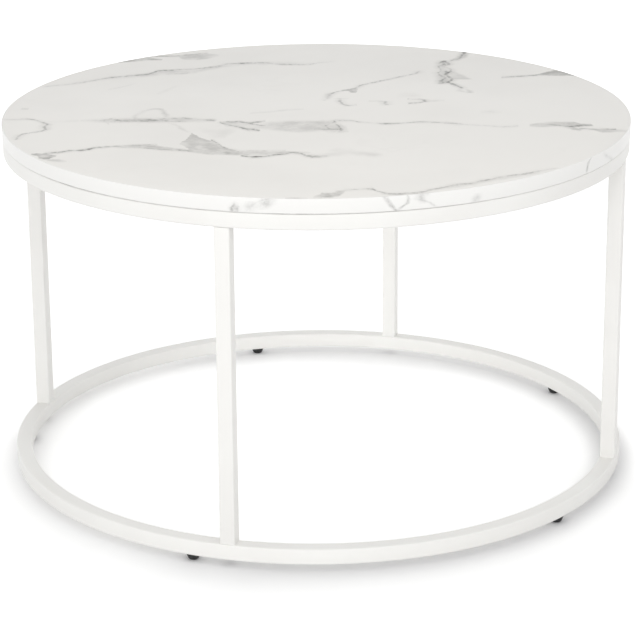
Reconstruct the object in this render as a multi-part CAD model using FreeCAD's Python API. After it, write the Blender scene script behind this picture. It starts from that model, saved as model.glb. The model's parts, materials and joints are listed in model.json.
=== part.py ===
import FreeCAD, Part
import math
import os

# Round cocktail table: a faced round board on a bolted frame of two bent square-tube
# rings and four square-tube legs, standing on screw-in feet.
# Millimetres, +Z up. The origin is on the floor under the middle of the top.
# Angles are counted from the front, -Y, towards the right, +X.

# Whole table
table_diameter = 800.0
table_height = 460.0

# Top board
core_thickness = 16.0
laminate_thickness = 1.0
backing_thickness = 1.0
edge_band_thickness = 1.0
edge_rounding = 0.6
edge_rounding_limit_share = 0.8
glue_line = 0.05

# Frame tubes
ring_tube = 20.0
ring_wall = 1.2
ring_corner = 2.2
ring_setback = 0.5
leg_tube = 19.0
leg_wall = 1.2
leg_corner = 2.0
leg_inner_corner = 0.8
leg_names = ("front", "right", "rear", "left")

# Screws, shared by all the bolted joints
bolt_diameter = 6.0
bolt_head_diameter = 10.5
bolt_head_height = 3.3
bolt_head_rim = 0.8
bolt_socket_width = 4.0
bolt_socket_depth = 2.0
bolt_tip_chamfer = 0.8
washer_diameter = 12.0
washer_thickness = 1.6
clearance_hole_gap = 0.3
washer_hole_gap = 0.2
thread_gap = 0.05

# Leg joints
leg_bolt_length = 14.0
nut_plate_thickness = 5.0
nut_plate_gap = 0.1
nut_plate_corner = 1.2
access_hole_gap = 0.5

# Top fixings
tab_count = 4
tab_thickness = 3.0
tab_width = 24.0
tab_hole_reach = 14.0
tab_weld_leg = 3.0
tab_weld_length = 20.0
weld_bulge_share = 0.65
top_bolt_length = 12.0
insert_diameter = 10.0
insert_length = 11.0
insert_flange_diameter = 13.0
insert_flange_thickness = 1.2
insert_gap = 0.1

# Levelling feet
foot_count = 5
foot_first_angle = -6.9
foot_height = 8.0
foot_top_diameter = 18.4
foot_base_diameter = 12.0
foot_edge_rounding = 3.0
foot_recess_gap = 0.3
stud_length = 14.0
stud_anchor_depth = 5.5
stud_anchor_diameter = 9.0
stud_anchor_thickness = 2.0
rivet_nut_diameter = 9.0
rivet_nut_length = 10.0
rivet_nut_flange_diameter = 10.6
rivet_nut_flange_thickness = 0.6
rivet_nut_bulge_diameter = 11.6
rivet_nut_bulge_height = 3.0
rivet_nut_gap = 0.05

# One overrun serves all the cuts
overrun = 1.0

full_turn = 360.0
half_turn = 180.0

# Levels and radii that follow from the sizes above
top_radius = table_diameter / 2
top_thickness = core_thickness + laminate_thickness + backing_thickness
top_underside = table_height - top_thickness
core_bottom = top_underside + backing_thickness
core_top = core_bottom + core_thickness
sheet_radius = top_radius - edge_band_thickness - glue_line
ring_radius = top_radius - ring_setback - ring_tube / 2
ring_inner_radius = ring_radius - ring_tube / 2
lower_ring_bottom = foot_height
lower_ring_top = lower_ring_bottom + ring_tube
upper_ring_bottom = top_underside - ring_tube
leg_length = upper_ring_bottom - lower_ring_top
bolt_radius = bolt_diameter / 2
tapped_radius = bolt_radius + thread_gap
clearance_radius = bolt_radius + clearance_hole_gap
access_radius = washer_diameter / 2 + access_hole_gap
tab_hole_radius = ring_inner_radius - tab_hole_reach
lower_bolt_seat = lower_ring_top - ring_wall - washer_thickness
upper_bolt_seat = upper_ring_bottom + ring_wall + washer_thickness
tab_bolt_seat = top_underside - tab_thickness - washer_thickness

origin = FreeCAD.Vector(0, 0, 0)
x_axis = FreeCAD.Vector(1, 0, 0)
y_axis = FreeCAD.Vector(0, 1, 0)
z_axis = FreeCAD.Vector(0, 0, 1)


def front_point(radius, level):
    """The point at this radius and level on the front half-plane."""
    return FreeCAD.Vector(0, -radius, level)


def turned(shape, angle):
    """A copy of a shape that stands at the front, carried round the table's axis."""
    return shape.rotated(origin, z_axis, angle)


def spread(count, first_angle=0.0):
    """Evenly spaced angles round the table."""
    return [first_angle + full_turn * step / count for step in range(count)]


def round_bar(radius, start, length):
    """A cylinder standing on a point."""
    return Part.makeCylinder(radius, length, start, z_axis)


def line(start, end):
    return Part.LineSegment(start, end).toShape()


def arc(start, middle, end):
    return Part.Arc(start, middle, end).toShape()


def turned_profile(edges):
    """A closed profile in the XZ plane, spun about the Z axis."""
    return Part.Face(Part.Wire(edges)).revolve(origin, z_axis, full_turn)


def stepped_round(steps):
    """A turned solid from (radius, bottom level, top level) steps, listed upwards."""
    points = [FreeCAD.Vector(0, 0, steps[0][1])]
    for radius, bottom, top in steps:
        points.append(FreeCAD.Vector(radius, 0, bottom))
        points.append(FreeCAD.Vector(radius, 0, top))
    points.append(FreeCAD.Vector(0, 0, steps[-1][2]))
    return turned_profile([line(a, b) for a, b in zip(points, points[1:] + points[:1])])


def rounded_square(centre, across, up, side, corner):
    """A square face with rounded corners, in the plane of two unit directions."""
    half = side / 2
    reach = half - corner
    outward = (across, up, -across, -up)
    edges = []
    for turn, out in enumerate(outward):
        along = outward[(turn + 1) % len(outward)]
        side_end = centre + out * half + along * reach
        corner_centre = centre + (out + along) * reach
        corner_middle = corner_centre + (out + along).normalize() * corner
        edges.append(line(centre + out * half - along * reach, side_end))
        edges.append(arc(side_end, corner_middle, centre + along * half + out * reach))
    return Part.Face(Part.Wire(edges))


def square_face(centre, across, up, side):
    """A plain square face, in the plane of two unit directions."""
    half = side / 2
    corners = [centre + across * a * half + up * b * half for a, b in ((1, 1), (-1, 1), (-1, -1), (1, -1))]
    return Part.Face(Part.makePolygon(corners + corners[:1]))


# Top


def insert_solid(gap=0.0, bored=True):
    """A flanged threaded insert, flush with the underside of the top."""
    flange_top = top_underside + insert_flange_thickness + gap
    body = stepped_round((
        (insert_flange_diameter / 2 + gap, top_underside, flange_top),
        (insert_diameter / 2 + gap, flange_top, top_underside + insert_length + gap),
    ))
    if bored:
        body = body.cut(round_bar(tapped_radius, origin + z_axis * top_underside, insert_length + overrun))
    return body.translated(front_point(tab_hole_radius, 0))


def tab_angles():
    """The fixings stand midway between the legs."""
    return spread(tab_count, full_turn / len(leg_names) / 2)


def drilled_for_inserts(sheet):
    pocket = insert_solid(insert_gap, bored=False)
    for angle in tab_angles():
        sheet = sheet.cut(turned(pocket, angle))
    return sheet


def top_core_board():
    board = round_bar(sheet_radius, origin + z_axis * core_bottom, core_thickness)
    return drilled_for_inserts(board)


def top_marble_laminate():
    return round_bar(sheet_radius, origin + z_axis * core_top, laminate_thickness)


def top_backing_sheet():
    sheet = round_bar(sheet_radius, origin + z_axis * top_underside, backing_thickness)
    return drilled_for_inserts(sheet)


def top_edge_band():
    """A hoop round the board, with its two outer edges eased."""
    easing = min(edge_rounding, edge_band_thickness * edge_rounding_limit_share)
    inner = top_radius - edge_band_thickness
    shoulder = top_radius - easing
    slack = easing * (1 - math.sqrt(0.5))

    def at(radius, level):
        return FreeCAD.Vector(radius, 0, level)

    low, high = top_underside, table_height
    return turned_profile([
        line(at(inner, low), at(shoulder, low)),
        arc(at(shoulder, low), at(top_radius - slack, low + slack), at(top_radius, low + easing)),
        line(at(top_radius, low + easing), at(top_radius, high - easing)),
        arc(at(top_radius, high - easing), at(top_radius - slack, high - slack), at(shoulder, high)),
        line(at(shoulder, high), at(inner, high)),
        line(at(inner, high), at(inner, low)),
    ])


# Frame


def hollow_ring(bottom):
    """Square tube bent to a full circle, hollow all the way round."""
    centre = FreeCAD.Vector(ring_radius, 0, bottom + ring_tube / 2)
    outside = rounded_square(centre, x_axis, z_axis, ring_tube, ring_corner)
    inside = square_face(centre, x_axis, z_axis, ring_tube - 2 * ring_wall)
    return outside.revolve(origin, z_axis, full_turn).cut(inside.revolve(origin, z_axis, full_turn))


def drilled(ring, radius, bottom, length, angles):
    """A round hole through one wall of a ring, repeated at each angle."""
    hole = round_bar(radius, front_point(ring_radius, bottom), length)
    for angle in angles:
        ring = ring.cut(turned(hole, angle))
    return ring


def lower_ring():
    """Bolt holes face the legs, and their access holes and the rivet nuts face the floor."""
    ring = hollow_ring(lower_ring_bottom)
    middle = lower_ring_bottom + ring_tube / 2
    below = lower_ring_bottom - overrun
    leg_angles = spread(len(leg_names))
    ring = drilled(ring, clearance_radius, middle, ring_tube, leg_angles)
    ring = drilled(ring, access_radius, below, middle - below, leg_angles)
    rivet_hole = rivet_nut_diameter / 2 + rivet_nut_gap
    return drilled(ring, rivet_hole, below, middle - below, spread(foot_count, foot_first_angle))


def upper_ring():
    """Bolt holes face the legs, and their access holes are under the top."""
    ring = hollow_ring(upper_ring_bottom)
    middle = upper_ring_bottom + ring_tube / 2
    below = upper_ring_bottom - overrun
    leg_angles = spread(len(leg_names))
    ring = drilled(ring, clearance_radius, below, middle - below, leg_angles)
    return drilled(ring, access_radius, middle, ring_tube, leg_angles)


def leg():
    """Square tube standing between the rings, at the front."""
    foot = front_point(ring_radius, lower_ring_top)
    outside = rounded_square(foot, x_axis, y_axis, leg_tube, leg_corner)
    inside = rounded_square(foot, x_axis, y_axis, leg_tube - 2 * leg_wall, leg_inner_corner)
    return outside.extrude(z_axis * leg_length).cut(inside.extrude(z_axis * leg_length))


def nut_plate(bottom):
    """Tapped plate in the end of a leg, flush with it."""
    centre = front_point(ring_radius, bottom)
    side = leg_tube - 2 * (leg_wall + nut_plate_gap)
    plate = rounded_square(centre, x_axis, y_axis, side, nut_plate_corner).extrude(z_axis * nut_plate_thickness)
    return plate.cut(round_bar(tapped_radius, centre - z_axis * overrun, nut_plate_thickness + 2 * overrun))


def fixing_tab():
    """Round-ended lug at the front of the upper ring, with its weld underneath."""
    bottom = top_underside - tab_thickness
    half = tab_width / 2
    hole_centre = front_point(tab_hole_radius, bottom)
    outer_end = hole_centre - y_axis * (tab_hole_reach + overrun)
    left, right, nose = -x_axis * half, x_axis * half, y_axis * half
    outline = Part.Wire([
        line(outer_end + left, hole_centre + left),
        arc(hole_centre + left, hole_centre + nose, hole_centre + right),
        line(hole_centre + right, outer_end + right),
        line(outer_end + right, outer_end + left),
    ])
    lug = Part.Face(outline).extrude(z_axis * tab_thickness)
    lug = lug.common(round_bar(ring_inner_radius, origin + z_axis * bottom, tab_thickness))
    lug = lug.fuse(tab_weld(bottom)).removeSplitter()
    return lug.cut(round_bar(clearance_radius, hole_centre - z_axis * overrun, tab_thickness + 2 * overrun))


def tab_weld(level):
    """Bead in the corner between the underside of a lug and the wall of the ring."""
    root = front_point(ring_inner_radius, level)
    on_lug = root + y_axis * tab_weld_leg
    on_ring = root - z_axis * tab_weld_leg
    crown = root + (y_axis - z_axis) * tab_weld_leg * weld_bulge_share
    face = Part.Face(Part.Wire([line(root, on_lug), arc(on_lug, crown, on_ring), line(on_ring, root)]))
    sweep = math.degrees(tab_weld_length / ring_inner_radius)
    return face.rotated(origin, z_axis, -sweep / 2).revolve(origin, z_axis, sweep)


# Fasteners


def button_head_bolt(length):
    """Domed socket-head screw, seated on Z = 0 with its shank upwards."""
    head_radius = bolt_head_diameter / 2
    dome = bolt_head_height - bolt_head_rim
    sphere = (head_radius ** 2 + dome ** 2) / (2 * dome)
    half_angle = math.asin(head_radius / sphere) / 2
    crown = sphere - dome - bolt_head_rim

    def at(radius, level):
        return FreeCAD.Vector(radius, 0, level)

    top, apex = at(0, length), at(0, -bolt_head_height)
    dome_middle = at(sphere * math.sin(half_angle), crown - sphere * math.cos(half_angle))
    bolt = turned_profile([
        line(top, at(bolt_radius - bolt_tip_chamfer, length)),
        line(at(bolt_radius - bolt_tip_chamfer, length), at(bolt_radius, length - bolt_tip_chamfer)),
        line(at(bolt_radius, length - bolt_tip_chamfer), at(bolt_radius, 0)),
        line(at(bolt_radius, 0), at(head_radius, 0)),
        line(at(head_radius, 0), at(head_radius, -bolt_head_rim)),
        arc(at(head_radius, -bolt_head_rim), dome_middle, apex),
        line(apex, top),
    ])
    return bolt.cut(hex_socket())


def hex_socket():
    corner_radius = bolt_socket_width / math.sqrt(3)
    start = FreeCAD.Vector(corner_radius, 0, -bolt_head_height - overrun)
    points = [Part.Vertex(start).rotated(origin, z_axis, angle).Point for angle in spread(6)]
    face = Part.Face(Part.makePolygon(points + points[:1]))
    return face.extrude(z_axis * (bolt_socket_depth + overrun))


def washer():
    """Flat washer standing on Z = 0."""
    disc = round_bar(washer_diameter / 2, origin, washer_thickness)
    return disc.cut(round_bar(bolt_radius + washer_hole_gap, origin, washer_thickness))


def upside_down(shape):
    return shape.rotated(origin, x_axis, half_turn)


def group(shape, radius, level, angles):
    """Separate copies of one fastener on a circle round the table."""
    placed = shape.translated(front_point(radius, level))
    return Part.makeCompound([turned(placed, angle) for angle in angles])


# Levelling feet


def foot_pad():
    """Tapered foot, recessed on top for the flange of its rivet nut and bored for its stud."""
    base, top = foot_base_diameter / 2, foot_top_diameter / 2
    cone = Part.makeCone(base, top, foot_height)
    floor_edge = [edge for edge in cone.Edges if edge.BoundBox.ZMax < foot_edge_rounding]
    cone = cone.makeFillet(foot_edge_rounding, floor_edge)
    recess_depth = rivet_nut_flange_thickness + foot_recess_gap
    recess_radius = rivet_nut_flange_diameter / 2 + foot_recess_gap
    cone = cone.cut(round_bar(recess_radius, z_axis * (foot_height - recess_depth), recess_depth + overrun))
    return cone.cut(foot_stud(thread_gap))


def foot_stud(gap=0.0):
    """Threaded stud with the round head that the foot is moulded over."""
    head_bottom = foot_height - stud_anchor_depth
    head_top = head_bottom + stud_anchor_thickness
    return stepped_round((
        (stud_anchor_diameter / 2 + gap, head_bottom - gap, head_top + gap),
        (bolt_radius + gap, head_top + gap, foot_height + stud_length),
    ))


def foot_rivet_nut():
    """Threaded rivet upset in the floor side of the lower ring."""
    wall_top = lower_ring_bottom + ring_wall
    bulge_top = wall_top + rivet_nut_bulge_height
    flange_bottom = lower_ring_bottom - rivet_nut_flange_thickness
    body = stepped_round((
        (rivet_nut_flange_diameter / 2, flange_bottom, lower_ring_bottom),
        (rivet_nut_diameter / 2, lower_ring_bottom, wall_top),
        (rivet_nut_bulge_diameter / 2, wall_top, bulge_top),
        (rivet_nut_diameter / 2, bulge_top, wall_top + rivet_nut_length),
    ))
    bore_length = ring_wall + rivet_nut_length + rivet_nut_flange_thickness
    return body.cut(round_bar(tapped_radius, z_axis * flange_bottom, bore_length))


def numbered(name, shape, angles):
    """One node for each copy of a piece, numbered round the table."""
    return {f"{name}_{number}": turned(shape, angle) for number, angle in enumerate(angles, start=1)}


def table_nodes():
    leg_angles = spread(len(leg_names))
    foot_angles = spread(foot_count, foot_first_angle)
    foot_place = front_point(ring_radius, 0)
    upper_plate_bottom = upper_ring_bottom - nut_plate_thickness
    leg_bolt = button_head_bolt(leg_bolt_length)
    nodes = {
        "top_core_board": top_core_board(),
        "top_marble_laminate": top_marble_laminate(),
        "top_backing_sheet": top_backing_sheet(),
        "top_edge_band": top_edge_band(),
        "top_threaded_inserts": Part.makeCompound([turned(insert_solid(), angle) for angle in tab_angles()]),
        "upper_ring": upper_ring(),
        "lower_ring": lower_ring(),
        "top_fixing_bolts": group(button_head_bolt(top_bolt_length), tab_hole_radius, tab_bolt_seat, tab_angles()),
        "top_fixing_washers": group(washer(), tab_hole_radius, tab_bolt_seat, tab_angles()),
        "lower_leg_bolts": group(leg_bolt, ring_radius, lower_bolt_seat, leg_angles),
        "lower_leg_washers": group(washer(), ring_radius, lower_bolt_seat, leg_angles),
        "upper_leg_bolts": group(upside_down(leg_bolt), ring_radius, upper_bolt_seat, leg_angles),
        "upper_leg_washers": group(upside_down(washer()), ring_radius, upper_bolt_seat, leg_angles),
        "foot_rivet_nuts": group(foot_rivet_nut(), ring_radius, 0, foot_angles),
    }
    nodes.update(numbered("top_fixing_tab", fixing_tab(), tab_angles()))
    nodes.update(numbered("foot_pad", foot_pad().translated(foot_place), foot_angles))
    nodes.update(numbered("foot_stud", foot_stud().translated(foot_place), foot_angles))
    for name, angle in zip(leg_names, leg_angles):
        nodes[f"leg_{name}"] = turned(leg(), angle)
        nodes[f"leg_{name}_lower_nut_plate"] = turned(nut_plate(lower_ring_top), angle)
        nodes[f"leg_{name}_upper_nut_plate"] = turned(nut_plate(upper_plate_bottom), angle)
    return nodes


os.makedirs("parts", exist_ok=True)
for node_name, node_shape in table_nodes().items():
    node_shape.exportStep(f"parts/{node_name}.step")
    print(node_name, len(node_shape.Solids), node_shape.isValid(), round(node_shape.Volume, 1))
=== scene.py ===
import json
import math

import bpy
from mathutils import Matrix, Vector


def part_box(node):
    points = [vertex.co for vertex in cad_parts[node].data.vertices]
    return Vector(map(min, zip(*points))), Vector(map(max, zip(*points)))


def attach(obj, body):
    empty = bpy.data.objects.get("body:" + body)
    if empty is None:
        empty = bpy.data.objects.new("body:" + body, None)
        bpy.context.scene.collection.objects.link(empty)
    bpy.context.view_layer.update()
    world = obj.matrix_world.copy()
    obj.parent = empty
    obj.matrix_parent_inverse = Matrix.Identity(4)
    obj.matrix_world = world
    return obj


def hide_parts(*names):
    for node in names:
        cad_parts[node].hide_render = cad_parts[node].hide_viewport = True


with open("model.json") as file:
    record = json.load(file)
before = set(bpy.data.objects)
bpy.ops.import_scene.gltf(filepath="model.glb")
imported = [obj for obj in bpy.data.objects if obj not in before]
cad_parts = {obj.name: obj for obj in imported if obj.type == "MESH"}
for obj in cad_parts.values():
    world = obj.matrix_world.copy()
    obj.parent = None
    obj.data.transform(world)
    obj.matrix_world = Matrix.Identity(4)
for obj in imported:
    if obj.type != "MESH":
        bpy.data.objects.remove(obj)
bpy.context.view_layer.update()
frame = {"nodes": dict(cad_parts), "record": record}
nodes = frame["nodes"]
mm = 0.001
degree = math.radians(1)
tight = 0.01 * mm      # places closer than this count as one
smoothAngle = 35 * degree
fineSegments = 2      # of the smallest bevels
legNames = ("front", "right", "rear", "left")
footNumbers = (1, 2, 3, 4, 5)
print("stage: frame loaded,", len(nodes), "nodes")


# Handling of pieces

def deselectAll():
    if bpy.context.object and bpy.context.object.mode != "OBJECT":
        bpy.ops.object.mode_set(mode="OBJECT")
    bpy.ops.object.select_all(action="DESELECT")


def selectOnly(piece):
    deselectAll()
    bpy.context.view_layer.objects.active = piece
    piece.select_set(True)


def editWith(piece, elementMode, picks):
    # opens the piece in edit mode with only the picked vertices, edges or faces selected
    selectOnly(piece)
    bpy.ops.object.mode_set(mode="EDIT")
    bpy.ops.mesh.select_mode(type=elementMode)
    bpy.ops.mesh.select_all(action="DESELECT")
    bpy.ops.object.mode_set(mode="OBJECT")
    mesh = piece.data
    parts = {"VERT": mesh.vertices, "EDGE": mesh.edges, "FACE": mesh.polygons}[elementMode]
    for part in parts:
        ids = [part.index] if elementMode == "VERT" else part.vertices
        part.select = picks([mesh.vertices[i].co for i in ids])
    bpy.ops.object.mode_set(mode="EDIT")


def editAll(piece):
    editWith(piece, "VERT", lambda corners: True)


def closeEdit():
    bpy.ops.object.mode_set(mode="OBJECT")


def applyModifier(piece, kind, **values):
    selectOnly(piece)
    modifier = piece.modifiers.new(kind.lower(), kind)
    for name, value in values.items():
        setattr(modifier, name, value)
    bpy.ops.object.modifier_apply(modifier=modifier.name)


def settle(piece):
    # moves the object's place, turn and scale into its mesh
    selectOnly(piece)
    bpy.ops.object.transform_apply(location=True, rotation=True, scale=True)


def cleanShell(piece):
    # merges the doubles and turns the faces outwards
    editAll(piece)
    bpy.ops.mesh.remove_doubles(threshold=tight)
    bpy.ops.mesh.select_all(action="SELECT")
    bpy.ops.mesh.normals_make_consistent(inside=False)
    closeEdit()


def copyTurned(piece, name, angle, shift=(0, 0, 0)):
    twin = piece.copy()
    twin.data = piece.data.copy()
    twin.name = name
    bpy.context.scene.collection.objects.link(twin)
    twin.data.transform(Matrix.Rotation(angle, 4, "Z") @ Matrix.Translation(shift))
    return twin


def finishPiece(piece, body, replaced, material):
    selectOnly(piece)
    bpy.ops.object.shade_smooth_by_angle(angle=smoothAngle)
    piece.data.materials.clear()
    piece.data.materials.append(material)
    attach(piece, body)
    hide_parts(*replaced)


# Shader building

def linkOrSet(tree, socket, value):
    if isinstance(value, bpy.types.NodeSocket):
        tree.links.new(value, socket)
    else:
        socket.default_value = value


def addMath(tree, operation, *values, clamp=False):
    node = tree.nodes.new("ShaderNodeMath")
    node.operation = operation
    node.use_clamp = clamp
    for socket, value in zip(node.inputs, values):
        linkOrSet(tree, socket, value)
    return node.outputs["Value"]


def addRange(tree, value, low, high, toLow=0.0, toHigh=1.0, smooth=False):
    node = tree.nodes.new("ShaderNodeMapRange")
    node.interpolation_type = "SMOOTHSTEP" if smooth else "LINEAR"
    names = ("Value", "From Min", "From Max", "To Min", "To Max")
    for name, item in zip(names, (value, low, high, toLow, toHigh)):
        linkOrSet(tree, node.inputs[name], item)
    return node.outputs["Result"]


def addNoise(tree, vector, scale, detail=2.0, roughness=0.5):
    node = tree.nodes.new("ShaderNodeTexNoise")
    tree.links.new(vector, node.inputs["Vector"])
    node.inputs["Scale"].default_value = scale
    node.inputs["Detail"].default_value = detail
    node.inputs["Roughness"].default_value = roughness
    return node


def addMix(tree, factor, first, second):
    node = tree.nodes.new("ShaderNodeMix")
    node.data_type = "RGBA"
    # the colours are the node's seventh and eighth inputs and its third output
    for index, value in ((0, factor), (6, first), (7, second)):
        linkOrSet(tree, node.inputs[index], value)
    return node.outputs[2]


def newGroup(name, inputs, outputs):
    tree = bpy.data.node_groups.new(name, "ShaderNodeTree")
    for label, kind, value in inputs:
        socket = tree.interface.new_socket(name=label, in_out="INPUT", socket_type=kind)
        if value is not None:
            socket.default_value = value
    for label, kind in outputs:
        tree.interface.new_socket(name=label, in_out="OUTPUT", socket_type=kind)
    return tree, tree.nodes.new("NodeGroupInput").outputs, tree.nodes.new("NodeGroupOutput").inputs


def placeGroup(tree, group, **values):
    node = tree.nodes.new("ShaderNodeGroup")
    node.node_tree = group
    for label, value in values.items():
        linkOrSet(tree, node.inputs[label], value)
    return node.outputs


def addSeen(tree):
    # 1 for what the camera sees, straight, mirrored or through glass, and the camera's own rays alone
    path = tree.nodes.new("ShaderNodeLightPath").outputs
    seen = addMath(tree, "MAXIMUM", path["Is Camera Ray"], path["Is Glossy Ray"])
    return addMath(tree, "MAXIMUM", seen, path["Is Transmission Ray"]), path["Is Camera Ray"]


def newMaterial(name):
    material = bpy.data.materials.new(name)
    material.use_nodes = True
    tree = material.node_tree
    place = tree.nodes.new("ShaderNodeTexCoord").outputs["Object"]
    return material, tree, tree.nodes["Principled BSDF"], place


def addBump(tree, shader, height, strength, distance):
    node = tree.nodes.new("ShaderNodeBump")
    node.inputs["Strength"].default_value = strength
    node.inputs["Distance"].default_value = distance
    tree.links.new(height, node.inputs["Height"])
    tree.links.new(node.outputs["Normal"], shader.inputs["Normal"])


# Marble figure: the veins are strokes in the turned frame of the top, with X to the right and Y to the rear.
# A stroke runs along X or Y. Each of its points is (place along, place across, half width, tone), in mm.

marble = {
    "turn": -15.94 * degree,      # the figure lies square to the viewer, the frame to its legs
    "white": (0.87, 0.855, 0.82, 1),
    "rimWhite": (0.88, 0.875, 0.855, 1),
    "vein": (0.108, 0.103, 0.092, 1),
    "cloud": 0.05,
    "rimCloud": 0.015,
    "traces": 0.02,
    "roughness": (0.34, 0.40),
    "rimRoughness": 0.34,
    "specular": 0.25,
    "seamShadeSpan": (0.4 * mm, 0.8 * mm),      # heights over the rim's lower edge between which the painted seam shade fades
    # how dark the painted shade of the seam is, by the angle from the front in degrees: it thins out to the
    # sides
    "seamShadeByAngle": ((-180, .1), (-62, .06), (-56, .3), (-49, .85), (-42, .8), (-36, .36), (-22, .54),
                  (-12, .3), (-3, .8), (8, .42), (20, .42), (28, .26), (40, .16), (46, .05), (180, .1)),
    "wavers": ((22.0, 5.0), (110.0, 2.4), (320.0, 1.7)),      # noise scale, shift in mm
    "rimWaver": (160.0, 3.0 * mm),
    "haloReach": 9.0,      # mm past the edge of a line
    "haloTone": 0.24,
    "endFade": 0.015,      # share of a stroke's length
    "overlay": 0.3,      # how much a stroke adds where it crosses a darker one
}

# Noise of the ground, each as scale, detail and roughness, and the spans that are taken from it
stone = {
    "cloud": (4.0, 4.0, 0.55),
    "cloudSpan": (0.45, 0.72),
    "bend": (9.0, 90 * mm),
    "ridge": (6.0, 3.0),
    "traceWidth": 0.012,
    "gate": (7.0, 2.0),
    "gateSpan": (0.5, 0.68),
    "patchy": (55.0, 3.0, 0.6),
    "patchySpan": (0.34, 0.62, 0.45, 1.1),
    "broken": (130.0, 4.0, 0.65),
    "brokenSpan": (0.36, 0.6, 0.42, 1.35),
    "smear": (18.0, 3.0),
    "smearSpan": (0.3, 0.7),
    "grain": (420.0, 2.0),
    "bump": (0.04, 0.4 * mm),
}

lineBlur = 2.2      # lines, which break up and carry a halo
fillBlur = 2.0      # patches with a clear edge
softBlur = 4.5
smokeBlur = 9.0

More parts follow.
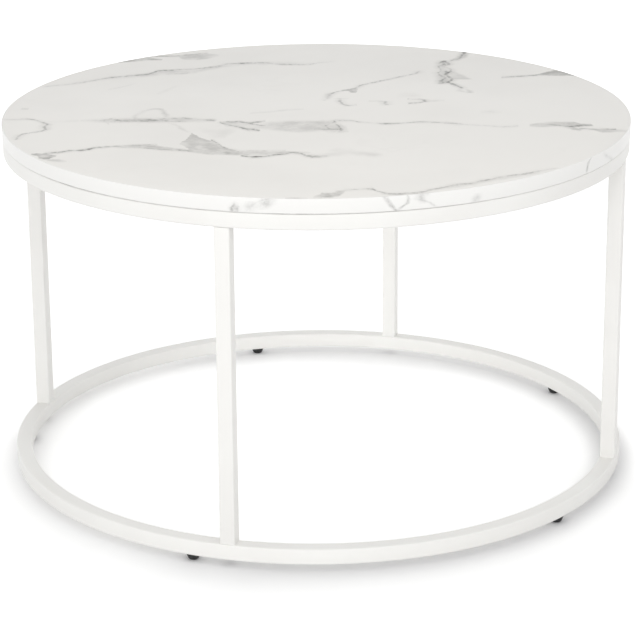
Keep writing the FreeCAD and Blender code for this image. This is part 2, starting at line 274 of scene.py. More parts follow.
strokesAlongX = (
    # rear left vein with its shadow and side lines
    (lineBlur, ((-368, 148, 1, .35), (-345, 157, 1.5, .4), (-310, 174, 2, .45), (-278, 199, 2.5, .65),
                (-250, 207, 2, .55), (-228, 217, 3, .75), (-216, 236, 3, .7), (-190, 243, 2.5, .65),
                (-165, 247, 2, .55), (-140, 262, 2, .45), (-120, 277, 2, .55), (-95, 279, 3, .75),
                (-68, 281, 2, .6), (-47, 270, 3, .5), (-20, 268, 2, .45), (-6, 270, 3, .45),
                (5, 278, 2, .25), (30, 286, 2, .12))),
    (smokeBlur, ((-330, 165, 3, .08), (-295, 188, 5, .18), (-230, 214, 9, .25), (-200, 230, 10, .26),
                 (-165, 234, 8, .2), (-130, 262, 7, .16), (-90, 279, 6, .18), (-60, 278, 7, .16),
                 (0, 272, 4, .1))),
    (lineBlur, ((-205, 216, 2, .3), (-180, 221, 2, .4), (-160, 228, 2, .25))),
    (lineBlur, ((-160, 250, 2, .3), (-146, 255, 3, .5), (-128, 262, 2, .35))),
    # patches at the rear rim
    (softBlur, ((-274, 290, 2, .5), (-255, 302, 8, .5), (-235, 309, 8, .5), (-212, 305, 3, .55))),
    (lineBlur, ((-248, 314, 2, .6), (-222, 326, 2.5, .6), (-195, 328, 3, .5), (-165, 338, 3, .45),
                (-150, 344, 2, .3))),
    (softBlur, ((-192, 330, 2, .22), (-186, 320, 12, .3), (-178, 319, 16, .32), (-162, 322, 19, .34),
                (-150, 325, 16, .3), (-142, 328, 10, .22), (-135, 331, 3, .1))),
    # middle vein, from the left
    (lineBlur, ((-300, -36, 2, .15), (-275, -37, 2.5, .35), (-260, -30, 4, .7), (-248, -37, 4, .65),
                (-225, -35, 3, .35), (-205, -34, 4, .5), (-190, -30, 3, .6), (-170, -25, 2, .5),
                (-150, -33, 2, .35), (-138, -35, 3, .5), (-126, -36, 4, .6))),
    (lineBlur, ((-262, -42, 2, .35), (-240, -40, 3, .5), (-215, -42, 2, .4), (-195, -38, 3, .55),
                (-180, -44, 3, .45), (-165, -44, 2, .35), (-150, -38, 2, .3))),
    (smokeBlur, ((-300, -37, 3, .1), (-265, -36, 9, .26), (-200, -36, 11, .3), (-160, -36, 9, .24),
                 (-124, -38, 6, .18))),
    (lineBlur, ((-269, -40, 2, .25), (-262, -54, 2, .35))),
    (lineBlur, ((-121, -46, 3, .5), (-114, -60, 4, .8), (-105, -68, 3, .65), (-95, -76, 3.5, .75),
                (-87, -85, 4, .8), (-76, -87, 3.5, .7), (-69, -93, 3, .6))),
    (lineBlur, ((-113, -46, 3, .4), (-97, -47, 3.5, .75), (-84, -54, 3.5, .75), (-76, -62, 3, .65),
                (-62, -67, 2, .4))),
    (lineBlur, ((-86, -53, 2.5, .5), (-74, -49, 3, .6), (-64, -43, 2.5, .4))),
    (softBlur, ((-124, -50, 3, .1), (-116, -51, 8, .24), (-104, -56, 11, .22), (-92, -65, 14, .2),
                (-80, -70, 14, .15), (-64, -72, 10, .08))),
    (smokeBlur, ((-72, -66, 14, .1), (-56, -68, 20, .2), (-40, -70, 25, .26), (-24, -71, 27, .29),
                 (-8, -70, 26, .28), (8, -70, 24, .29), (20, -73, 22, .28), (30, -78, 16, .22),
                 (40, -82, 7, .1))),
    (softBlur, ((-42, -60, 4, .06), (-32, -70, 8, .12), (-22, -60, 10, .1), (-8, -52, 5, .08),
                (0, -50, 3, .04))),
    (lineBlur, ((-4, -86, 2, .4), (8, -87, 3, .55), (30, -88, 2.5, .5))),
    (lineBlur, ((12, -98, 2, .25), (30, -101, 2, .35), (40, -98, 2, .15))),
    (lineBlur, ((20, -42, 2, .55), (30, -45, 2.5, .6), (44, -46, 2.5, .6), (57, -54, 1.5, .35),
                (75, -59, 1.5, .3), (84, -62, 3, .65), (97, -62, 2.5, .55), (110, -58, 2, .35),
                (122, -54, 2.5, .5), (136, -53, 3, .6), (150, -56, 2, .45), (168, -62, 2.5, .55),
                (177, -66, 4, .6), (186, -69, 1.5, .15), (205, -74, 1.5, .15), (232, -81, 2, .18),
                (253, -77, 2, .28))),
    # grey wedge in front of the middle vein, with its crooked line
    (fillBlur, ((-167, -151, 1, .32), (-160, -150, 18, .35), (-153, -142, 42, .36), (-146, -154, 34, .35),
                (-138, -161, 29, .36), (-130, -166, 26, .37), (-122, -172, 22, .36),
                (-114, -182, 15, .36), (-106, -190, 10, .34), (-92, -196, 7, .34))),
    (lineBlur, ((-131, -136, 2, .7), (-124, -145, 2, .8), (-118, -156, 2, .8), (-113, -170, 2, .75),
                (-105, -181, 2, .5), (-90, -188, 2, .35), (-60, -189, 2, .3), (-36, -190, 2, .2))),
    (smokeBlur, ((-148, -78, 5, .02), (-128, -106, 20, .07), (-112, -104, 22, .08),
                 (-100, -84, 12, .03))),
    # front vein with its lens, left knot and right band
    (lineBlur, ((-330, -196, 2, .4), (-322, -193, 2.5, .55), (-311, -189, 3, .7), (-300, -181, 3.5, .7),
                (-293, -179, 2, .3), (-285, -178, 3.5, .6), (-276, -174, 3.5, .75), (-269, -168, 3, .6),
                (-245, -163, 2, .4), (-225, -159, 2, .35), (-193, -156, 2, .4))),
    (lineBlur, ((-248, -165, 2, .3), (-215, -171, 2, .4), (-198, -176, 2, .5), (-180, -181, 2, .5),
                (-160, -185, 2, .5), (-148, -189, 3, .45))),
    (softBlur, ((-264, -165, 2, .14), (-235, -164, 4, .28), (-212, -163, 7, .32), (-197, -166, 7, .34),
                (-180, -175, 5, .3), (-150, -188, 4, .3))),
    (fillBlur, ((-343, -198, 1, .4), (-336, -199, 5, .52), (-331, -204, 9, .42), (-325, -206, 11, .55),
                (-319, -210, 8, .62), (-313, -207, 3, .3))),
    (lineBlur, ((-333, -213, 2, .5), (-326, -217, 3, .7), (-318, -217, 2.5, .6))),
    (softBlur, ((-328, -221, 2, .15), (-318, -226, 4, .26), (-308, -229, 6, .24), (-300, -231, 3, .1))),
    (softBlur, ((-158, -188, 3, .3), (-130, -196, 7, .36), (-95, -198, 8, .36), (-60, -200, 8, .36),
                (-34, -197, 4, .3), (-8, -198, 3, .14))),
    (lineBlur, ((-92, -207, 2, .4), (-78, -216, 3, .75), (-64, -214, 3, .75), (-50, -208, 3, .65),
                (-40, -206, 2, .5), (-32, -200, 2.5, .4), (-24, -201, 3.5, .65), (-18, -204, 3.5, .75),
                (-13, -211, 3.5, .6), (-6, -216, 4.5, .5), (4, -217, 4.5, .35), (16, -216, 4, .15))),
    (smokeBlur, ((-12, -210, 4, .12), (6, -213, 7, .2), (20, -208, 8, .13), (40, -202, 8, .1),
                 (56, -205, 9, .12), (69, -211, 10, .16), (80, -213, 5, .06))),
    (smokeBlur, ((8, -196, 3, .03), (24, -190, 8, .08), (42, -190, 7, .07), (54, -196, 3, .02))),
    # right upper vein's thickening and side bits
    (fillBlur, ((34, 116, 2, .3), (42, 117, 4, .45), (47, 115, 10, .5), (52, 117, 12, .5),
                (56, 128, 2, .2))),
    (lineBlur, ((35, 37, 2, .4), (42, 35, 2.2, .5), (53, 39, 2, .3))),
    (softBlur, ((70, 58, 2, .2), (84, 56, 2, .22), (92, 54, 2, .25))),
    (softBlur, ((22, 70, 2, .1), (32, 70, 2.5, .2), (44, 71, 2, .08))),
    (softBlur, ((142, 55, 2, .08), (154, 56, 5, .13), (168, 58, 4, .06))),
    (smokeBlur, ((106, 82, 8, .03), (118, 90, 12, .08), (130, 87, 10, .06), (140, 84, 5, .02))),
    (lineBlur, ((118, 43, 2.5, .5), (128, 46, 3, .65), (137, 49, 2, .5))),
    (lineBlur, ((120, 67, 2, .3), (130, 65, 2, .4), (140, 63, 2, .4))),
    # far right vein and its dark wedge
    (lineBlur, ((249, 184, 2, .5), (262, 187, 2.5, .55), (282, 191, 2.5, .5), (302, 197, 2.5, .55))),
    (fillBlur, ((298, 197, 2, .5), (312, 204, 10, .58), (326, 208, 17, .6), (338, 202, 11, .6),
                (352, 190, 2, .55))),
    # feathered smears at the right
    (softBlur, ((265, -76, 5, .2), (275, -72, 10, .28), (292, -68, 11, .3), (310, -68, 11, .36),
                (324, -70, 10, .36), (332, -77, 6, .42), (347, -78, 3, .4))),
    (lineBlur, ((286, -66, 2, .3), (300, -76, 3, .4), (312, -81, 4, .55), (322, -82, 4, .55),
                (334, -78, 3, .6), (346, -77, 3, .5))),
    (softBlur, ((311, -87, 2, .2), (319, -92, 5, .4), (326, -97, 5, .5), (333, -94, 2, .3))),
    (softBlur, ((333, -93, 2, .35), (345, -98, 4, .45), (353, -104, 8, .38), (366, -105, 8, .3),
                (376, -105, 6, .26), (392, -108, 4, .15))),
    (lineBlur, ((327, -92, 2, .5), (345, -96, 2, .6), (360, -96, 2, .55), (374, -98, 3, .6))),
    # wedge and line at the front rim
    (softBlur, ((-4, -394, 2, .2), (6, -385, 9, .5), (18, -384, 8, .5), (26, -378, 9, .5),
                (34, -366, 2, .3))),
    (lineBlur, ((32, -366, 2, .3), (52, -360, 2, .3), (64, -360, 3, .5), (72, -375, 2, .4),
                (85, -383, 2, .3), (115, -381, 2, .3))),
    # faint traces between the veins
    (softBlur, ((-275, 130, 2, .08), (-262, 142, 3, .14), (-240, 166, 2, .06))),
    (softBlur, ((-85, -4, 3, .1), (-50, 8, 3, .1), (-38, 14, 3, .16), (-16, 17, 2, .12))),
    (softBlur, ((-382, 28, 3, .3), (-371, 27, 3, .3))),
    (softBlur, ((-219, 19, 2, .12), (-209, 23, 3, .32), (-203, 23, 3, .36), (-196, 21, 2, .2))),
    (lineBlur, ((-397, -28, 1.5, .4), (-382, -27, 1.5, .35), (-368, -24, 2, .4), (-358, -28, 2, .45),
                (-350, -38, 2, .4), (-342, -42, 2, .35))),
    (smokeBlur, ((-345, -40, 3, .05), (-325, -38, 3, .08), (-300, -37, 3, .1))),
    (smokeBlur, ((210, -2, 5, .06), (224, -4, 7, .1), (238, -8, 4, .04))),
)

strokesAlongY = (
    # crooked line at the left rim
    (lineBlur, ((-130, -371, 2, .3), (-101, -367, 2.5, .6), (-92, -352, 2.5, .6), (-86, -343, 2.5, .6),
                (-78, -337, 2, .6), (-64, -341, 2, .6), (-52, -338, 2, .6), (-42, -346, 2, .5),
                (-32, -356, 2, .35))),
    # small arch behind the middle vein
    (softBlur, ((-32, -231, 2, .3), (-15, -230, 2, .22), (0, -225, 3.5, .16), (14, -220, 3.5, .17),
                (23, -210, 2, .2))),
    (softBlur, ((-22, -189, 2, .26), (-8, -191, 2.5, .3), (4, -195, 2.5, .28), (16, -199, 2.5, .26),
                (23, -203, 2, .3))),
    # line that leads down to the wedge
    (softBlur, ((-98, -158, 1, .12), (-84, -166, 1.5, .26), (-66, -175, 1.5, .12),
                (-48, -188, 1.5, .16))),
    # knots at the end of the smoky band
    (lineBlur, ((-97, 33, 1.6, .5), (-85, 32, 1.8, .5), (-72, 29, 1.6, .5), (-60, 24, 2, .6),
                (-41, 22, 1.6, .5))),
    (lineBlur, ((-88, 19, 1.5, .4), (-78, 14, 1.8, .55), (-67, 13, 1.8, .6), (-60, 20, 1.8, .6),
                (-46, 24, 1.5, .35))),
    # right upper vein
    (lineBlur, ((60, 10, 2, .15), (80, 15, 2.5, .35), (95, 17, 2.5, .45), (106, 25, 2, .45),
                (116, 38, 2, .45), (128, 53, 2, .6), (146, 62, 2, .6), (160, 76, 2.5, .6),
                (178, 98, 2, .55), (191, 113, 2, .55), (204, 130, 2, .55), (212, 138, 2, .5),
                (228, 141, 2, .25))),
    (lineBlur, ((36, 36, 1.5, .4), (48, 34, 1.8, .5), (60, 32, 1.8, .5), (70, 31, 1.5, .3))),
    (softBlur, ((70, 16, 2, .12), (82, 16, 4, .28), (94, 16, 4, .28), (103, 18, 3, .18))),
    (lineBlur, ((33, 90, 2.5, .4), (48, 90, 2, .4), (58, 91, 2, .35))),
    (lineBlur, ((46, 134, 2, .4), (52, 141, 2, .65), (62, 141, 2, .6), (70, 134, 2, .2))),
    # chained vein down from the rear right rim: two strands, tail and smear
    (lineBlur, ((124, 196, 2.5, .65), (135, 191, 3, .75), (143, 186, 3, .75), (152, 180, 3.5, .75),
                (160, 174, 2.5, .6), (168, 181, 2, .6), (178, 183, 2, .6), (190, 180, 2, .6),
                (201, 176, 2.5, .65), (212, 178, 2.5, .65), (222, 183, 2, .6), (234, 185, 2, .55),
                (243, 181, 2, .45), (252, 173, 2, .5), (260, 181, 2.5, .65), (268, 184, 2, .55),
                (276, 183, 2, .6), (283, 177, 2.5, .6), (291, 178, 2, .4))),
    (lineBlur, ((147, 164, 2, .5), (156, 168, 2.5, .6), (165, 166, 2, .55), (174, 171, 2, .6),
                (184, 176, 2, .5), (195, 171, 2, .5), (205, 167, 2, .5), (216, 165, 2, .45),
                (226, 170, 2, .45), (240, 169, 2, .35), (251, 168, 2, .4), (258, 174, 2.5, .5),
                (266, 177, 2.5, .65), (273, 172, 2, .6), (280, 174, 2, .6), (287, 181, 2, .5))),
    (lineBlur, ((282, 187, 2, .3), (291, 190, 3, .5), (298, 199, 2.5, .55), (306, 203, 2, .5),
                (316, 204, 3, .6), (326, 207, 2.5, .6), (336, 210, 3, .65), (345, 214, 3, .5))),
    (softBlur, ((98, 204, 2, .25), (108, 191, 3, .25), (118, 193, 2, .3), (128, 196, 2, .4))),
    (softBlur, ((97, 203, 3, .3), (110, 204, 2, .25), (122, 198, 2, .25))),
    (softBlur, ((173, 198, 12, .1), (179, 195, 14, .26), (187, 192, 11, .22), (200, 190, 9, .22),
                (211, 187, 6, .22), (224, 184, 3, .12))),
    (softBlur, ((282, 190, 3, .2), (290, 193, 7, .34), (298, 196, 6, .3), (305, 203, 7, .3),
                (317, 206, 7, .34), (330, 209, 5, .3), (345, 213, 4, .36))),
    (smokeBlur, ((146, 171, 7, .2), (160, 172, 8, .3), (200, 173, 7, .24), (250, 174, 7, .22),
                 (288, 178, 7, .24))),
    (lineBlur, ((200, 178, 2.5, .4), (208, 177, 3, .5), (219, 175, 3.5, .5), (226, 178, 2, .3))),
    (lineBlur, ((256, 176, 2, .35), (264, 176, 2.5, .45), (278, 177, 3.5, .5), (290, 179, 2, .25))),
    (lineBlur, ((150, 162, 2, .45), (160, 165, 2, .5), (172, 169, 2.5, .6))),
    (softBlur, ((102, -208, 2, .06), (125, -195, 2, .1), (150, -186, 2, .05))),
)

# A grey line that follows the front right edge, a few mm inside it.
# Each point is (angle from the front in degrees, radius, half width, tone).
edgeStrokes = (
    (softBlur, ((-5.0, 397, 1, .3), (-3.2, 396, 2, .4), (-1.5, 397, 1, .15))),
    (lineBlur, ((10.5, 387, 2, .3), (13.0, 392, 4, .4), (16.0, 395, 4, .45), (18.0, 393, 3, .4),
                (20.0, 388, 2, .35), (23.0, 384, 2.5, .5), (25.0, 381, 3, .6), (28.0, 384, 2, .45),
                (31.0, 382, 2.5, .4), (34.0, 379, 2.5, .35), (37.0, 381, 2, .4), (38.5, 384, 3, .6),
                (41.0, 387, 2, .45), (43.0, 390, 2, .3), (46.0, 395, 2, .15))),
    (softBlur, ((19.0, 388, 3, .1), (25.0, 384, 5, .2), (30.0, 384, 5, .18), (34.0, 383, 6, .18),
                (39.0, 387, 4, .14), (44.0, 393, 3, .06))),
)

# Rim veins, which run down the edge.
# Each point is (height over the floor, angle from the front in degrees, half width, tone).
rimBlur = 0.4
rimSoft = 1.1
rimStrokes = (
    (rimBlur, ((441, -14.0, .2, .4), (447, -14.0, .25, .5), (451, -13.6, .15, .35),
               (456, -13.4, .1, .1))),
    (rimBlur, ((442, -12.9, .1, .2), (446, -13.1, .2, .4), (450, -12.8, .1, .15))),
    (rimSoft, ((441, -13.4, .5, .26), (447, -13.4, .6, .3), (454, -13.2, .3, .12))),
    (rimSoft, ((442, -11.3, .5, .14), (449, -10.8, 1.0, .26), (456, -10.4, .6, .14))),
    (rimSoft, ((446, -9.0, .5, .14), (453, -8.4, 1.1, .26), (460, -8.0, 1.1, .18))),
    (rimBlur, ((449, -10.9, .2, .2), (453, -10.2, .2, .3), (457, -9.2, .2, .25), (460, -7.6, .2, .3))),
    (rimBlur, ((441, 13.2, .2, .4), (447, 12.4, .3, .42), (453, 11.7, .35, .45), (461, 11.0, .3, .4))),
    (rimBlur, ((441, 13.2, .1, .1), (446, 13.8, .3, .42), (450, 14.8, .3, .5), (455, 15.1, .15, .4),
               (461, 14.9, .1, .3))),
    (rimBlur, ((441, 20.1, .2, .4), (448, 19.0, .25, .25), (454, 17.0, .5, .2), (461, 17.5, .2, .3))),
    (rimSoft, ((448, 18.0, .3, .1), (455, 17.2, .8, .22), (461, 17.6, .9, .24))),
    (rimSoft, ((441, 27.2, .3, .3), (447, 27.3, .4, .3), (453, 27.5, .1, .08))),
    (rimBlur, ((443, 53.6, .2, .45), (449, 53.8, .25, .55), (456, 54.2, .3, .55), (460, 55.2, .2, .35))),
    (rimSoft, ((441, 64.3, .3, .22), (447, 62.5, .5, .26), (453, 61.0, .3, .2), (459, 59.5, .1, .1))),
)


def addCurve(tree, factor, points, low, high):
    # a float curve over 0 to 1 that gives values between low and high
    node = tree.nodes.new("ShaderNodeFloatCurve")
    line = node.mapping.curves[0]
    scaled = [(at, (value - low) / (high - low)) for at, value in points]
    for index, (at, value) in enumerate((scaled[0], scaled[-1])):
        line.points[index].location = (at, value)
    for at, value in scaled[1:-1]:
        line.points.new(at, value)
    for point in line.points:
        point.handle_type = "VECTOR"
    node.mapping.update()
    tree.links.new(factor, node.inputs["Value"])
    return addMath(tree, "MULTIPLY_ADD", node.outputs["Value"], high - low, low)


def addStroke(tree, along, across, broken, blur, points, alongUnit, acrossUnit):
    first, last = points[0][0], points[-1][0]
    reach = addRange(tree, along, first * alongUnit, last * alongUnit)
    shares = [(p[0] - first) / (last - first) for p in points]
    sides = [p[1] * acrossUnit for p in points]
    widths = [p[2] * acrossUnit for p in points]
    fade = marble["endFade"]
    inner = [fade + (1 - 2 * fade) * share for share in shares]
    tones = [(0.0, 0.0)] + [(at, p[3]) for at, p in zip(inner, points)] + [(1.0, 0.0)]
    slack = acrossUnit * 0.001      # keeps the span of a straight stroke above zero
    path = addCurve(tree, reach, list(zip(shares, sides)), min(sides), max(sides) + slack)
    half = addCurve(tree, reach, list(zip(shares, widths)), 0.0, max(widths))
    tone = addCurve(tree, reach, tones, 0.0, 1.0)
    off = addMath(tree, "ABSOLUTE", addMath(tree, "SUBTRACT", across, path))
    past = addMath(tree, "SUBTRACT", off, half)
    body = addRange(tree, past, -blur * acrossUnit, blur * acrossUnit, 1.0, 0.0, smooth=True)
    if blur == lineBlur:
        # a line breaks up into grains and lies in a soft halo
        haloReach = marble["haloReach"] * acrossUnit
        halo = addRange(tree, past, 0.0, haloReach, marble["haloTone"], 0.0, smooth=True)
        body = addMath(tree, "MAXIMUM", addMath(tree, "MULTIPLY", body, broken), halo)
    return addMath(tree, "MULTIPLY", body, tone)


def layAll(tree, strokes):
    # where strokes cross, the darkest one shows, with a part of the others
    deepest, total = strokes[0], strokes[0]
    for stroke in strokes[1:]:
        deepest = addMath(tree, "MAXIMUM", deepest, stroke)
        total = addMath(tree, "ADD", total, stroke)
    share = marble["overlay"]
    return addMath(tree, "MULTIPLY_ADD", total, share, addMath(tree, "MULTIPLY", deepest, 1 - share))


def addAngle(tree, x, y):
    # the angle round the top, from the front
    return addMath(tree, "ARCTAN2", x, addMath(tree, "MULTIPLY", y, -1.0))


def turnedPlace(tree, place):
    node = tree.nodes.new("ShaderNodeMapping")
    node.inputs["Rotation"].default_value = (0, 0, marble["turn"])
    tree.links.new(place, node.inputs["Vector"])
    return node.outputs["Vector"]


def wavered(tree, place, scale, amount):
    # shifts the place a little by noise, so that no stroke keeps a clean edge
    noise = addNoise(tree, place, scale, 3.0)
    centred = tree.nodes.new("ShaderNodeVectorMath")
    centred.operation = "SUBTRACT"
    tree.links.new(noise.outputs["Color"], centred.inputs[0])
    centred.inputs[1].default_value = (0.5, 0.5, 0.5)
    moved = tree.nodes.new("ShaderNodeVectorMath")
    moved.operation = "MULTIPLY_ADD"
    tree.links.new(centred.outputs["Vector"], moved.inputs[0])
    moved.inputs[1].default_value = (amount, amount, 0)
    tree.links.new(place, moved.inputs[2])
    return moved.outputs["Vector"]


def splitPlace(tree, place):
    node = tree.nodes.new("ShaderNodeSeparateXYZ")
    tree.links.new(place, node.inputs["Vector"])
    return node.outputs


def makeStoneGround():
    # clouding and hair-thin traces that face and rim share
    tree, given, out = newGroup(
        "stoneGround", [("Place", "NodeSocketVector", None)],
        [("Cloud", "NodeSocketFloat"), ("Trace", "NodeSocketFloat"), ("Patchy", "NodeSocketFloat"),
         ("Broken", "NodeSocketFloat")])
    place = given["Place"]
    tree.links.new(addNoise(tree, place, *stone["cloud"]).outputs["Fac"], out["Cloud"])
    bent = wavered(tree, place, *stone["bend"])
    ridge = addNoise(tree, bent, *stone["ridge"]).outputs["Fac"]
    offRidge = addMath(tree, "ABSOLUTE", addMath(tree, "SUBTRACT", ridge, 0.5))
    hair = addRange(tree, offRidge, 0.0, stone["traceWidth"], 1.0, 0.0, smooth=True)
    gateNoise = addNoise(tree, place, *stone["gate"]).outputs["Fac"]
    gate = addRange(tree, gateNoise, *stone["gateSpan"], smooth=True)
    tree.links.new(addMath(tree, "MULTIPLY", hair, gate), out["Trace"])
    for name, socket in (("patchy", "Patchy"), ("broken", "Broken")):
        noise = addNoise(tree, place, *stone[name]).outputs["Fac"]
        tree.links.new(addRange(tree, noise, *stone[f"{name}Span"]), out[socket])
    return tree


def paintStone(tree, shader, ground, veins, white, traces, clouding):
    # white ground, faint clouding and traces, then the veins
    tone = addMath(tree, "MULTIPLY", veins, ground["Patchy"])
    tone = addMath(tree, "MULTIPLY_ADD", ground["Trace"], traces, tone)
    cloud = addRange(tree, ground["Cloud"], *stone["cloudSpan"], 0.0, clouding)
    tone = addMath(tree, "ADD", tone, cloud, clamp=True)
    tree.links.new(addMix(tree, tone, white, marble["vein"]), shader.inputs["Base Color"])


def grainStone(tree, shader, place):
    addBump(tree, shader, addNoise(tree, place, *stone["grain"]).outputs["Fac"], *stone["bump"])


def makeMarbleFace(stoneGround):
    material, tree, shader, place = newMaterial("marbleFace")
    turned = turnedPlace(tree, place)
    ground = placeGroup(tree, stoneGround, Place=turned)
    bent = turned
    for scale, shift in marble["wavers"]:
        bent = wavered(tree, bent, scale, 2 * shift * mm)
    x, y = splitPlace(tree, bent)[0:2]
    broken = ground["Broken"]
    strokes = [addStroke(tree, x, y, broken, blur, points, mm, mm) for blur, points in strokesAlongX]
    strokes += [addStroke(tree, y, x, broken, blur, points, mm, mm) for blur, points in strokesAlongY]
    angle = addAngle(tree, x, y)
    squares = [addMath(tree, "POWER", side, 2.0) for side in (x, y)]
    radius = addMath(tree, "SQRT", addMath(tree, "ADD", *squares))
    strokes += [addStroke(tree, angle, radius, broken, blur, points, degree, mm)
                for blur, points in edgeStrokes]
    veins = layAll(tree, strokes)
    paintStone(tree, shader, ground, veins, marble["white"], marble["traces"], marble["cloud"])
    smear = addNoise(tree, place, *stone["smear"]).outputs["Fac"]
    roughness = addRange(tree, smear, *stone["smearSpan"], *marble["roughness"])
    tree.links.new(roughness, shader.inputs["Roughness"])
    shader.inputs["Specular IOR Level"].default_value = marble["specular"]
    grainStone(tree, shader, place)
    return material


def makeMarbleRim(stoneGround):
    material, tree, shader, place = newMaterial("marbleRim")
    turned = turnedPlace(tree, place)
    ground = placeGroup(tree, stoneGround, Place=turned)
    x, y, z = splitPlace(tree, wavered(tree, turned, *marble["rimWaver"]))[0:3]
    angle = addAngle(tree, x, y)
    strokes = [addStroke(tree, z, angle, ground["Broken"], blur, points, mm, degree)
               for blur, points in rimStrokes]
    speckled = addMath(tree, "MULTIPLY", layAll(tree, strokes), ground["Broken"])
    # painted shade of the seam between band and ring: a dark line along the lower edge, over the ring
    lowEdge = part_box("top_edge_band")[0].z
    full, gone = marble["seamShadeSpan"]
    seamShadeMask = addRange(tree, splitPlace(tree, place)["Z"], lowEdge + full, lowEdge + gone, 1.0, 0.0)
    turnShare = addRange(tree, angle, -math.pi, math.pi)
    seamShadeByAngle = [((at + 180) / 360, tone) for at, tone in marble["seamShadeByAngle"]]
    seamShadeTone = addCurve(tree, turnShare, seamShadeByAngle, 0.0, 1.0)
    tone = addMath(tree, "MAXIMUM", speckled, addMath(tree, "MULTIPLY", seamShadeMask, seamShadeTone))
    paintStone(tree, shader, ground, tone, marble["rimWhite"], 0.0, marble["rimCloud"])
    shader.inputs["Roughness"].default_value = marble["rimRoughness"]
    grainStone(tree, shader, place)
    return material


# Other finishes

def makeSurfaceGrain():
    # fine texture of a coated or moulded surface, with a slow drift of tone
    tree, given, out = newGroup(
        "surfaceGrain",
        [("Place", "NodeSocketVector", None), ("Grain scale", "NodeSocketFloat", 900.0),
         ("Drift scale", "NodeSocketFloat", 12.0)],
        [("Height", "NodeSocketFloat"), ("Drift", "NodeSocketFloat")])
    grain = addNoise(tree, given["Place"], 1.0, 2.0)
    tree.links.new(given["Grain scale"], grain.inputs["Scale"])
    drift = addNoise(tree, given["Place"], 1.0, 3.0)
    tree.links.new(given["Drift scale"], drift.inputs["Scale"])
    tree.links.new(grain.outputs["Fac"], out["Height"])
    tree.links.new(drift.outputs["Fac"], out["Drift"])
    return tree


finishes = {
    "powderCoat": dict(light=(0.88, 0.875, 0.85, 1), dark=(0.86, 0.85, 0.825, 1), rough=(0.38, 0.44),
                       grain=1100.0, drift=9.0, bump=0.05, distance=0.0003, metallic=0.0),
    "blackPlastic": dict(light=(0.026, 0.026, 0.027, 1), dark=(0.014, 0.014, 0.015, 1), rough=(0.38, 0.55),
                         grain=2600.0, drift=160.0, bump=0.18, distance=0.0002, metallic=0.0),
    "zincSteel": dict(light=(0.66, 0.67, 0.68, 1), dark=(0.52, 0.53, 0.56, 1), rough=(0.30, 0.44),
                      grain=1800.0, drift=140.0, bump=0.06, distance=0.0001, metallic=1.0),
    "backingSheet": dict(light=(0.80, 0.80, 0.79, 1), dark=(0.76, 0.76, 0.75, 1), rough=(0.55, 0.7),
                         grain=1300.0, drift=7.0, bump=0.12, distance=0.0003, metallic=0.0),
    "fibreBoard": dict(light=(0.50, 0.37, 0.23, 1), dark=(0.33, 0.23, 0.14, 1), rough=(0.7, 0.9),
                       grain=900.0, drift=220.0, bump=0.3, distance=0.0006, metallic=0.0),
}


# shares of the noise over which the tone and the roughness change
driftSpan = (0.32, 0.68)
grainSpan = (0.3, 0.7)


def makeFinish(name, surfaceGrain):
    values = finishes[name]
    material, tree, shader, place = newMaterial(name)
    grain = placeGroup(tree, surfaceGrain, **{"Place": place, "Grain scale": values["grain"],
                                              "Drift scale": values["drift"]})
    drift = addRange(tree, grain["Drift"], *driftSpan, smooth=True)
    tree.links.new(addMix(tree, drift, values["light"], values["dark"]), shader.inputs["Base Color"])
    roughness = addRange(tree, grain["Height"], *grainSpan, *values["rough"])
    tree.links.new(roughness, shader.inputs["Roughness"])
    shader.inputs["Metallic"].default_value = values["metallic"]
    addBump(tree, shader, grain["Height"], values["bump"], values["distance"])
    return material


stoneGround = makeStoneGround()
surfaceGrain = makeSurfaceGrain()
marbleFace = makeMarbleFace(stoneGround)
marbleRim = makeMarbleRim(stoneGround)
coats = {name: makeFinish(name, surfaceGrain) for name in finishes}
slotFinish = {"white_powder_coat": "powderCoat", "zinc_steel": "zincSteel", "black_plastic": "blackPlastic",
              "backing_sheet": "backingSheet", "core_board": "fibreBoard"}
for part in frame["record"]["subparts"]:
    if part["material_slot"] in slotFinish:
        nodes[part["node"]].material_slots[0].material = coats[slotFinish[part["material_slot"]]]
nodes["top_marble_laminate"].material_slots[0].material = marbleFace
nodes["top_edge_band"].material_slots[0].material = marbleRim
print("stage: finishes made,", len(marbleFace.node_tree.nodes), "nodes in the marble")

# Frame tubes: rings and legs start from one rounded square outline

tube = {
    "wall": 1.2 * mm,
    "ringCorner": 2.2 * mm,
    "legCorner": 2.0 * mm,
    "cornerSegments": 6,
    "ringSteps": 240,
    "legEndBevel": 0.35 * mm,
    "outerRim": 0.84 * mm,      # edges no farther in than this belong to the outer rim of a leg's end
    "accessHole": 6.5 * mm,
    "boltHole": 3.3 * mm,
    "rivetHole": 4.55 * mm,
    "holeSides": 40,
    "drillLength": 4.8 * mm,
}


def centreOf(node):
    low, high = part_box(node)
    return (low + high) / 2


def squareOutline(name, size, corner, place, turn):
    # a square with rounded corners, left open in edit mode as a closed line
    deselectAll()
    bpy.ops.mesh.primitive_plane_add(size=size, location=place, rotation=turn)
    piece = bpy.context.object
    piece.name = name
    settle(piece)
    editAll(piece)
    bpy.ops.mesh.bevel(offset=corner, segments=tube["cornerSegments"], affect="VERTICES")
    bpy.ops.mesh.select_all(action="SELECT")
    bpy.ops.mesh.delete(type="ONLY_FACE")
    bpy.ops.mesh.select_all(action="SELECT")
    return piece


def bendRing(name, node):
    low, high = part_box(node)
    size = high.z - low.z
    place = (0, -(high.x - size / 2), low.z + size / 2)
    ring = squareOutline(name, size, tube["ringCorner"], place, (0, math.radians(90), 0))
    bpy.ops.mesh.spin(steps=tube["ringSteps"], angle=math.radians(360), center=(0, 0, 0), axis=(0, 0, 1))
    closeEdit()
    cleanShell(ring)
    applyModifier(ring, "SOLIDIFY", thickness=tube["wall"], offset=-1.0, use_even_offset=True)
    return ring


